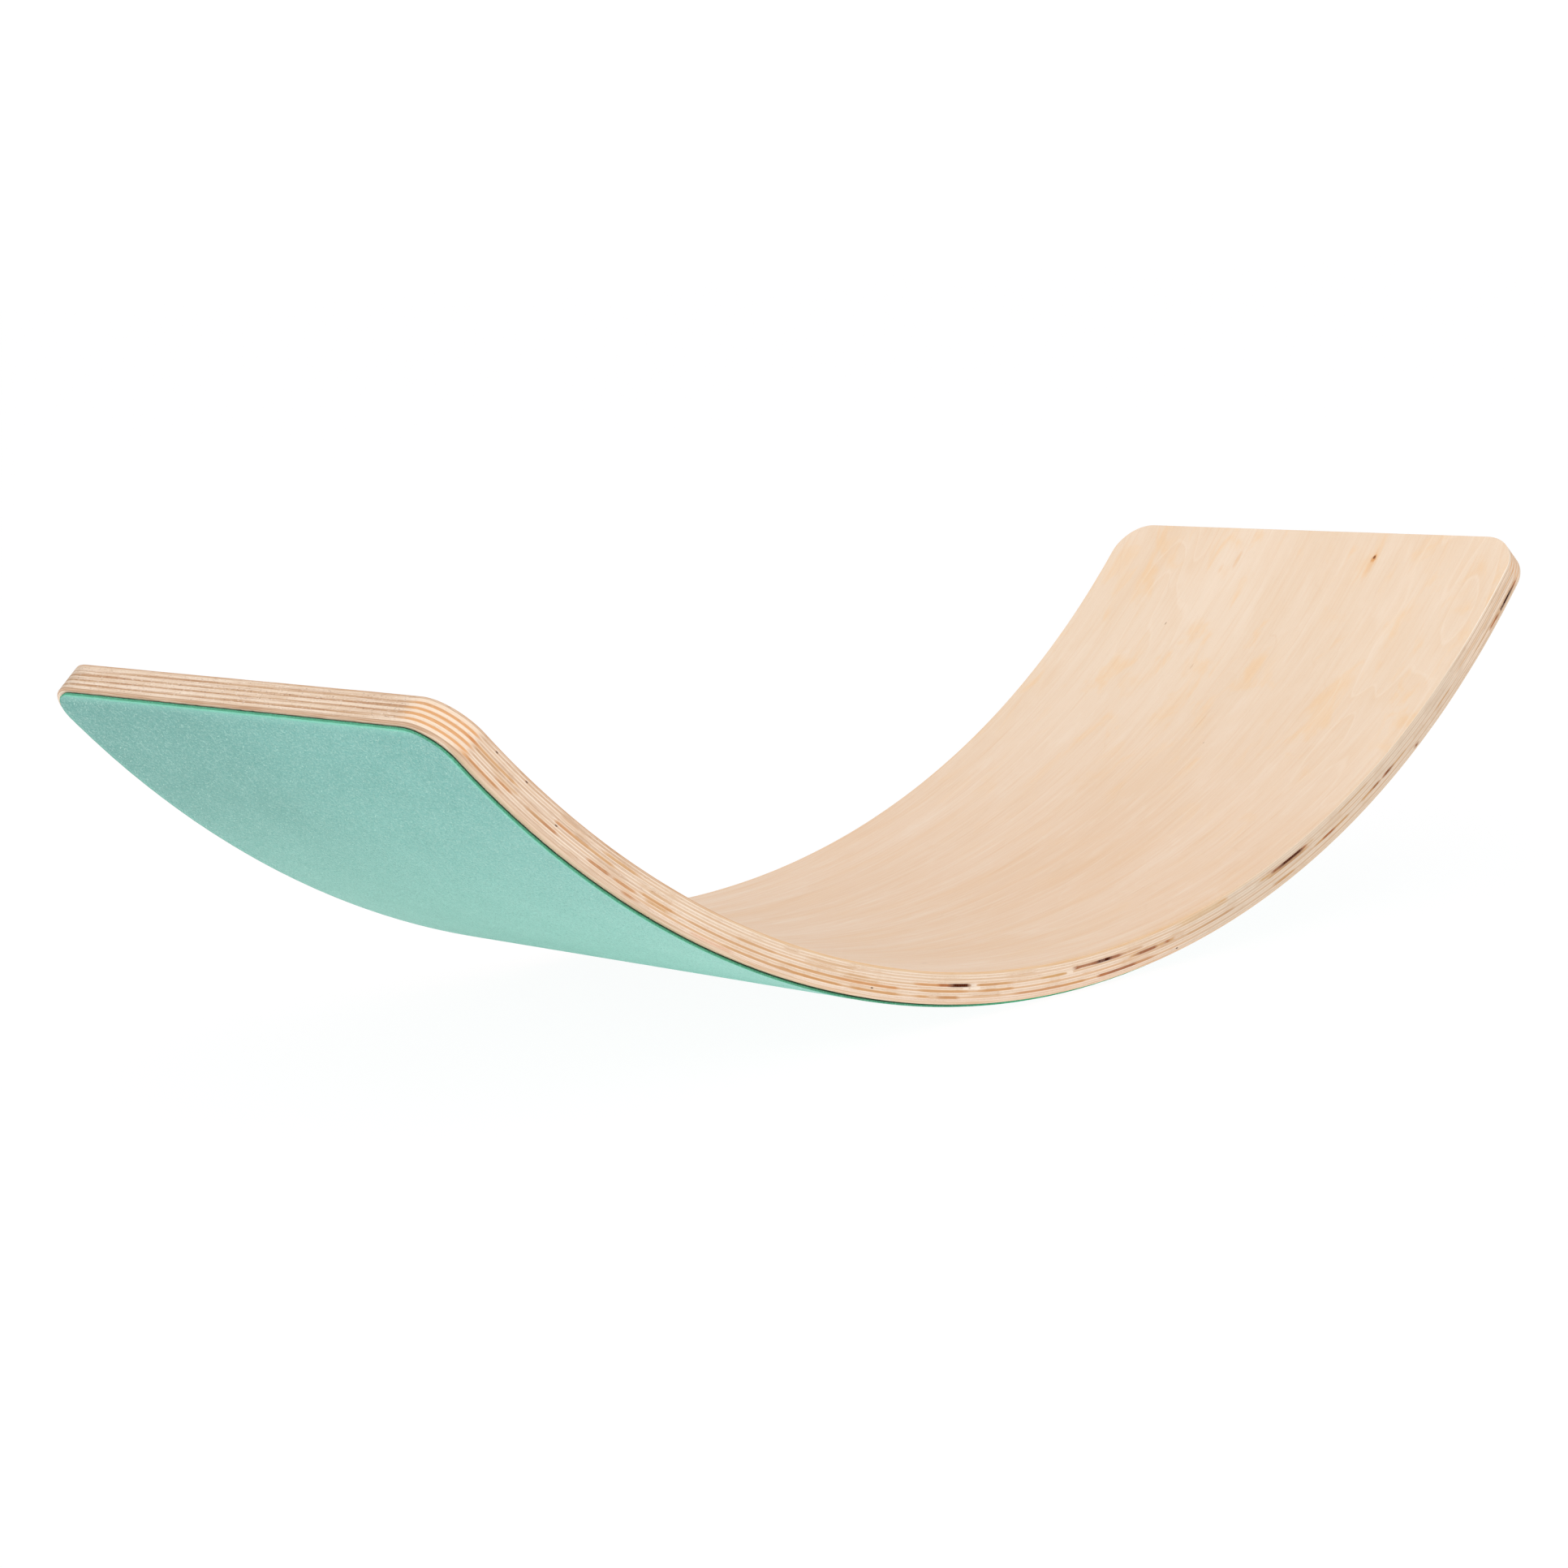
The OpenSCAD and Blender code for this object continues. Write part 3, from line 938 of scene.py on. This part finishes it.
def core_birch(name, k):
    """Ply k counted from the top: odd plies run lengthwise, even plies across."""
    mat = Surface(name)
    along, y, depth = mat.coords
    seed = k * 7.31
    odd = k % 2 == 1
    # fibre waves per mm along and across the board
    freq_along, freq_y = (1 / 42, 1 / 0.95) if odd else (1 / 0.95, 1 / 42)
    fibre = mat.noise(along * freq_along + seed, y * freq_y, depth / 0.34, detail=3, rough=0.6)
    fine = mat.noise(along * (freq_along * 4.5) + seed, y * (freq_y * 1.6), depth / 0.16,
                     rough=0.6)
    blot = mat.noise(along / 62 + seed, y / 62 + seed, depth / 2.6, rough=0.55)
    lively = along.ease(0, 150, 1.0, 0.58).max(along.ease(350, 390, 0.0, 0.8))
    base = core_tone(mat, k, seed, fibre, fine, blot, lively)
    ends = abs(along).ease(MID_RADIUS * (HALF_ANGLE - 0.046), MID_RADIUS * (HALF_ANGLE - 0.032))
    base = base.tint(ends * along.ease(-1, 1, 0.95, 0.60), core_end_tone(mat, seed, odd, blot))
    base = core_glue(mat, k, base, lively, ends)
    base = core_marks(mat, k, seed, base, fine)
    # inside a gap the wood is painted dark: painted shade of the recess
    in_gap = abs(y).fade(HALF_WIDTH - 0.45, HALF_WIDTH - 0.15) * abs(along).fade(
        MID_RADIUS * (HALF_ANGLE - 0.060), MID_RADIUS * (HALF_ANGLE - 0.056))
    base = base.tint(in_gap * 0.97, (84, 33, 12))
    return mat.finish(base, 0.62 + (fibre - 0.5) * 0.25, fibre + fine * 0.5, distance=0.00010,
                      strength=0.6, Specular_IOR_Level=(1.0 - in_gap) * 0.12)


# ---------------------------------------------------------------- felt and its adhesive


def felt_fibres(mat):
    """Single fibres lying in four directions."""
    along, y, _ = mat.coords
    fibres = None
    for i, angle in enumerate((0.2, 0.95, 1.7, 2.45)):
        cos, sin = math.cos(angle), math.sin(angle)
        lengthwise = along * cos + y * sin
        sideways = y * cos - along * sin
        layer = mat.noise(lengthwise / 3.6, sideways / 0.42, 11.0 * i, detail=1, distortion=0.6)
        layer = layer.ease(0.645, 0.725)
        fibres = layer if fibres is None else fibres.max(layer)
    return fibres


def felt_rim_highlight_and_shade(mat, base):
    """A painted highlight along the felt's rounded rim, with a greener, brighter lip at its very
    edge in front and at the ends, and painted shade on the back lip.
    """
    along, y, _ = mat.coords
    side, end = HALF_WIDTH - FELT_SIDE, MID_RADIUS * HALF_ANGLE
    rim_side = abs(y).ease(side - 5.0, side - 1.0)
    rim_end = abs(along).ease(end - 8.0, end - 3.5)
    # painted highlight on the rounded rim
    base = base.tint(rim_side.max(rim_end) * 0.30, (150, 212, 196))
    lip_front = y.ease(1.9 - side, 1.0 - side)
    shaded_lip_back = y.ease(side - 2.2, side - 1.0)
    lip_end = abs(along).ease(end - 3.6, end - 2.6)
    base = base.tint(lip_front.max(lip_end) * 0.48, (120, 218, 182))
    # painted shade on the back lip
    return base.tint(shaded_lip_back * 0.55, (106, 160, 146))


def felt_cut(mat, base, grain):
    """The cut edge: painted darker and greener than the face as painted shade, brighter to the
    right, and darkest where it meets the glue.
    """
    along, _, depth = mat.coords
    cut = mat.wire("Attribute", output="Fac", attribute_name="cut")
    start = INNER[FELT] - INNER[TOP]
    left = grain.ease(0.40, 0.66).mix((62, 142, 108), (98, 182, 146))
    right = grain.ease(0.40, 0.66).mix((50, 168, 118), (84, 206, 154))
    edge = left.tint(along.ease(-100, -30, 0.0, 0.85), right)
    base = base.tint(cut * along.ease(-100, -30, 0.90, 0.97), edge)
    # painted shade where the felt's cut edge meets the glue
    seam_shade = depth.ease(start + 0.30, start + 0.85, 0.96, 0.0) * along.ease(-100, -30, 1.0, 0.22)
    return base.tint(cut * seam_shade, (30, 74, 46))


def felt_material(name):
    mat = Surface(name)
    along, y, depth = mat.coords
    broad = mat.noise(along / 34, y / 34, 1.0)
    mottle = mat.noise(along / 4.2, y / 4.2, depth / 4.2, rough=0.6)
    speck = mat.noise(along / 1.05, y / 1.05, depth / 1.05, detail=1)
    grain = mat.noise(along / 0.6, y / 0.6, depth / 0.6, detail=3, rough=0.7)
    # painted light: the felt is painted lighter in the middle for its sheen and the floor's bounce
    # light, deeper towards the two ends, and dimmer at the back and back left as painted shade
    tips = abs(along).ease(at_deg(22), at_deg(47))
    light = broad.ease(0.3, 0.7).mix((150, 204, 191), (155, 208, 195))
    shaded_deep = broad.ease(0.3, 0.7).mix((113, 170, 162), (119, 175, 167))
    back_left = along.ease(-320, -390) * y.ease(-20, 40)
    shade = y.ease(-HALF_WIDTH, HALF_WIDTH, 1.07, 0.93) * (1.0 - back_left * 0.075)
    base = tips.mix(light, shaded_deep).scaled(shade)
    base = base.tint(mottle.ease(0.42, 0.74) * 0.10, (104, 166, 152))
    base = base.tint(speck.ease(0.53, 0.72) * 0.44, (178, 220, 210))
    base = base.tint(speck.ease(0.47, 0.28) * 0.44, (90, 152, 142))
    base = base.tint(grain.ease(0.50, 0.74) * 0.60, (178, 219, 209))
    base = base.tint(grain.ease(0.48, 0.28) * 0.60, (92, 154, 143))
    fibres = felt_fibres(mat)
    base = base.tint(fibres * 0.70, (194, 231, 220))
    base = felt_rim_highlight_and_shade(mat, base)
    base = felt_cut(mat, base, grain)
    height = grain * 0.7 + (fibres * 0.45 + (mottle * 0.2 + speck * 0.8))
    return mat.finish(base, 0.90 + grain * 0.08, height, distance=0.00030, strength=0.8,
                      Specular_IOR_Level=0.10, Sheen_Weight=0.12, Sheen_Roughness=0.50,
                      Sheen_Tint=linear((214, 240, 232)))


def glue_and_seam_shade_material(name):
    mat = Surface(name)
    along, y, depth = mat.coords
    smear = mat.noise(along / 5, y / 5, depth * 1.0, detail=3, rough=0.6)
    # dark green: the adhesive, made darker as painted shade of the seam between board and felt
    base = smear.ease(0.35, 0.7).mix((12, 46, 32), (30, 78, 54))
    return mat.finish(base, 0.35 + smear * 0.3, smear, distance=0.0002, strength=0.6)


# ---------------------------------------------------------------- pieces

# gaps in the core plies' long edges: (side, from deg, to deg, depth)
GAPS = {
    4: [("front", 1.30, 1.72, 0.6), ("front", 1.85, 2.50, 0.7), ("front", 18.00, 20.05, 0.5),
        ("back", 12.0, 13.6, 1.2)],
    5: [("front", -10.30, -8.88, 0.6), ("back", -31.0, -30.1, 1.0)],
    6: [("front", 4.80, 4.98, 0.4)],
    7: [("front", 28.78, 29.35, 0.3), ("back", -18.6, -17.2, 1.1), ("back", 34.0, 34.7, 1.0)],
    9: [("front", 43.42, 43.66, 0.9), ("front", 43.92, 45.10, 1.2), ("back", 3.0, 4.1, 1.0)],
}


def install(sheet, node, material):
    """Puts a sheet in the place of its CAD piece."""
    sheet.data.materials.clear()
    sheet.data.materials.append(material)
    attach(sheet, "root")
    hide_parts(node)


def arris_wave(seed, amplitude=0.07):
    """An uneven arris, with waves that fit the outline's length."""
    def wave(place, total):
        return smooth_noise(place, seed, [
            (total / 9, amplitude), (total / 41, amplitude * 0.6), (total / 140, amplitude * 0.3)])
    return wave


def build_top():
    levels = rounded(INNER[TOP], TOP_ROUND, -1, [0, 20, 40, 60, 78, 90])
    levels.append(Level(OUTER[TOP], 0.0, 0.0, 1.0, 0.0))
    sheet = BentSheet(levels, 300, 40, edge_wave=arris_wave(5), layout="inner")
    install(sheet.build(TOP + "_birch"), TOP, face_birch("birch_face_top", True))


def build_core(k, node):
    inner, outer = INNER[node], OUTER[node]
    quarter = (outer - inner) / 4
    levels = [Level(radius, 0, 0, 1, 0)
              for radius in (inner, inner + quarter, inner + 3 * quarter, outer)]
    sheet = BentSheet(levels, 260, 8, gaps=GAPS.get(k, ()))
    install(sheet.build(node + "_birch"), node, core_birch("birch_core_%02d" % k, k))


def build_bottom():
    levels = [Level(INNER[BOTTOM], 0.0, 0.0, 1.0, 0.0)]
    levels += rounded(OUTER[BOTTOM], BOTTOM_ROUND, 1, [90, 72, 50, 30, 12, 0])
    sheet = BentSheet(levels, 300, 12, edge_wave=arris_wave(8))
    install(sheet.build(BOTTOM + "_birch"), BOTTOM,
            face_birch("birch_face_bottom", False))


def build_film():
    """The adhesive, bulging a little between board and felt; its dark green is partly painted
    shade of the seam.
    """
    inner, outer = INNER[FILM], OUTER[FILM]
    levels = [Level(inner, 0, 0, 1, 0.4), Level((inner + outer) / 2, -0.18, 0, 1, 1.0),
              Level(outer, 0, 0, 1, 0.4)]
    sheet = BentSheet(
        levels, 420, 60, insets=felt_insets(FILM), corner=FILM_CORNER,
        edge_wave=lambda place, total: smooth_noise(place, 21, [(9, 0.16), (3.5, 0.10)]))
    install(sheet.build("felt_adhesive_bead_and_seam_shade"), FILM, glue_and_seam_shade_material("adhesive_seam_shade_green"))


def felt_relief(along, y):
    """The felt's own unevenness along the radius, none at its long edges."""
    relief = np.array([
        mnoise.noise(Vector((a / 7.5, b / 7.5, 3.0))) * 0.05
        + mnoise.noise(Vector((a / 3.4, b / 3.4, 8.0))) * 0.02
        for a, b in zip(along, y)
    ])
    return relief * np.clip((HALF_WIDTH - np.abs(y) - FELT_SIDE) / 4.0, 0.0, 1.0)


def build_felt():
    inner, outer = INNER[FELT], OUTER[FELT] + FELT_PROUD
    levels = [Level(inner, 0.45, 0, 1, 0.3), Level(inner + 0.22, 0.16, 0, 1, 0.7),
              Level(inner + 0.44, 0.02, 0, 1, 1.0)]
    levels += [level._replace(wave=1.0)
               for level in rounded(outer, FELT_ROUND, 1, [90, 68, 46, 26, 10, 0])]
    waves = [(38, 0.10), (11, 0.07), (4.5, 0.06)]
    sheet = BentSheet(
        levels, 400, 130, n_corner=24, layout="outer", face_wave=felt_relief,
        edge_wave=lambda place, total: smooth_noise(place, 31, waves),
        insets=felt_insets(FELT), corner=FELT_CORNER)
    felt = sheet.build("felt_cover", own_normals=False)
    felt.data.set_sharp_from_angle(angle=math.radians(55))
    install(felt, FELT, felt_material("felt_mint"))


build_top()
for k, node in enumerate(PLIES[1:-1], 2):
    build_core(k, node)
build_bottom()
build_film()
build_felt()

# ---------------------------------------------------------------- stage, in metres

FLOOR_RADIUS, FLOOR_SIDES, FLOOR_DROP = 40.0, 96, 0.0002
# floor as it lights the board, and as the camera sees it
FLOOR_ALBEDO_LIT, FLOOR_ALBEDO_SEEN = 0.62, 0.085
FLOOR_GLOW_LIT, FLOOR_GLOW_SEEN = 0.60, 0.935
# world: glow at the horizon and overhead as it lights, and as the camera sees it
SKY_HORIZON, SKY_OVERHEAD, SKY_SEEN = 0.78, 0.84, 1.15


def floor_material():
    material = bpy.data.materials.new("floor_pale")
    graph = Graph(material)
    place = graph.wire("TexCoord", output="Object")
    noise = graph.wire("TexNoise", {"Scale": 3.0, "Vector": place})
    seen = graph.wire("LightPath", output="Is Camera Ray")
    # faint pink, painted to cancel the green light the felt bounces into the floor's shadow
    grade = noise.mix((1.0, 0.95, 0.97, 1), (1, 0.97, 0.99, 1))
    albedo = seen.ease(0, 1, FLOOR_ALBEDO_LIT, FLOOR_ALBEDO_SEEN)
    diffuse = graph.wire("BsdfDiffuse", {"Color": grade.scaled(albedo)})
    glow = graph.wire("Emission", {"Strength": seen.ease(0, 1, FLOOR_GLOW_LIT, FLOOR_GLOW_SEEN)})
    graph.put(graph.output.inputs[0], graph.wire("AddShader", {0: diffuse, 1: glow}))
    return material


def build_floor():
    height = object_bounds()[0].z - FLOOR_DROP
    angles = [2 * math.pi * i / FLOOR_SIDES for i in range(FLOOR_SIDES)]
    ring = [(FLOOR_RADIUS * math.cos(a), FLOOR_RADIUS * math.sin(a), height) for a in angles]
    mesh = bpy.data.meshes.new("floor")
    mesh.from_pydata(ring, [], [list(range(FLOOR_SIDES))])
    floor = bpy.data.objects.new("floor", mesh)
    bpy.context.scene.collection.objects.link(floor)
    mesh.materials.append(floor_material())


def build_world():
    world = bpy.data.worlds.new("studio")
    bpy.context.scene.world = world
    graph = Graph(world, "OutputWorld")
    direction = graph.wire("TexCoord", output="Generated")
    height = graph.wire("SeparateXYZ", {0: direction}, output=2)
    glow = graph.wire("MapRange", {0: height, 1: 0.0, 2: 1.0, 3: SKY_HORIZON, 4: SKY_OVERHEAD})
    lighting = graph.wire("Background", {0: (1.0, 0.997, 0.99, 1), 1: glow})
    backdrop = graph.wire("Background", {0: (1, 1, 1, 1), 1: SKY_SEEN})
    seen = graph.wire("LightPath", output="Is Camera Ray")
    sky = graph.wire("MixShader", {0: seen, 1: lighting, 2: backdrop})
    graph.put(graph.output.inputs[0], sky)


def area_light(name, location, target, size, power):
    """A square area light aimed at target; power in watts."""
    light = bpy.data.lights.new(name, "AREA")
    light.shape, light.size, light.size_y, light.energy = "RECTANGLE", size, size, power
    holder = bpy.data.objects.new(name, light)
    bpy.context.scene.collection.objects.link(holder)
    holder.location = location
    holder.rotation_mode = "QUATERNION"
    aim = Vector(target) - Vector(location)
    holder.rotation_quaternion = aim.to_track_quat("-Z", "Y")


def build_camera():
    data = bpy.data.cameras.new("camera")
    data.lens, data.sensor_width = 82.2177, 36.0
    data.clip_start, data.clip_end = 0.05, 200.0
    camera = bpy.data.objects.new("camera", data)
    bpy.context.scene.collection.objects.link(camera)
    place = Vector((-1.3955230, -1.3326709, 0.3888884))
    right = Vector((0.70248338, -0.71064738, -0.03869631))
    up = Vector((0.13285150, 0.07752109, 0.98809967))
    forward = Vector((0.69919067, 0.69926445, -0.14886785))
    turn = Matrix((right, up, -forward)).transposed().to_4x4()
    camera.matrix_world = Matrix.Translation(place) @ turn
    bpy.context.scene.camera = camera


build_floor()
build_world()
area_light("key_soft", location=(-3.0, -1.2, 1.8), target=(0, 0, 0.1), size=2.2, power=22)
area_light("fill_soft", location=(-1.6, -1.9, 2.6), target=(0, 0, 0.1), size=2.2, power=10)
build_camera()

view = bpy.context.scene.view_settings
view.view_transform = "Standard"
view.look = "None"
view.exposure = 0.0
view.gamma = 1.0
